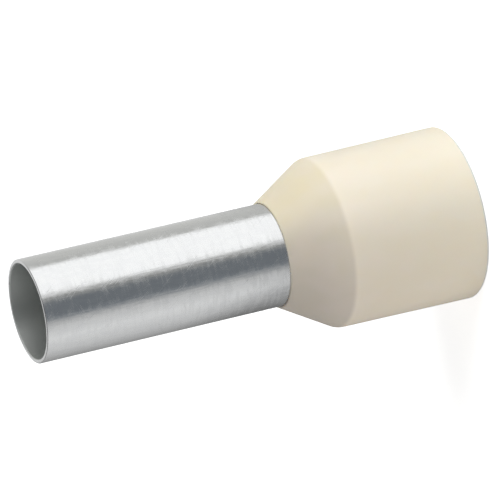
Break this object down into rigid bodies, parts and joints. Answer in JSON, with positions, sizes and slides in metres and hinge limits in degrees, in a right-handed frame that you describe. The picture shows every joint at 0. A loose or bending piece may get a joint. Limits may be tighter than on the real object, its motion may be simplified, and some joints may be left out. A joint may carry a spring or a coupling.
{
  "type": "insulated wire ferrule",
  "caption": "Insulated wire ferrule: a thin plated metal tube whose hidden end is flared, gripped by a flared ivory plastic collar that takes the wire's insulation.",
  "frame": {"origin": "centre of the collar's mouth, on the plane it stands on", "axes": "+Z along the axis that both pieces share, from the collar's mouth to the tube's bare end; the part is round, so X and Y are alike"},
  "size_m": [0.0082, 0.0082, 0.0215],
  "materials": {
    "tin_plate": "bright tin plate on drawn copper, satin",
    "ivory_plastic": "smooth moulded, semi-gloss"
  },
  "bodies": {
    "root": {"tube": "tin_plate", "collar": "ivory_plastic"}
  },
  "joints": []
}
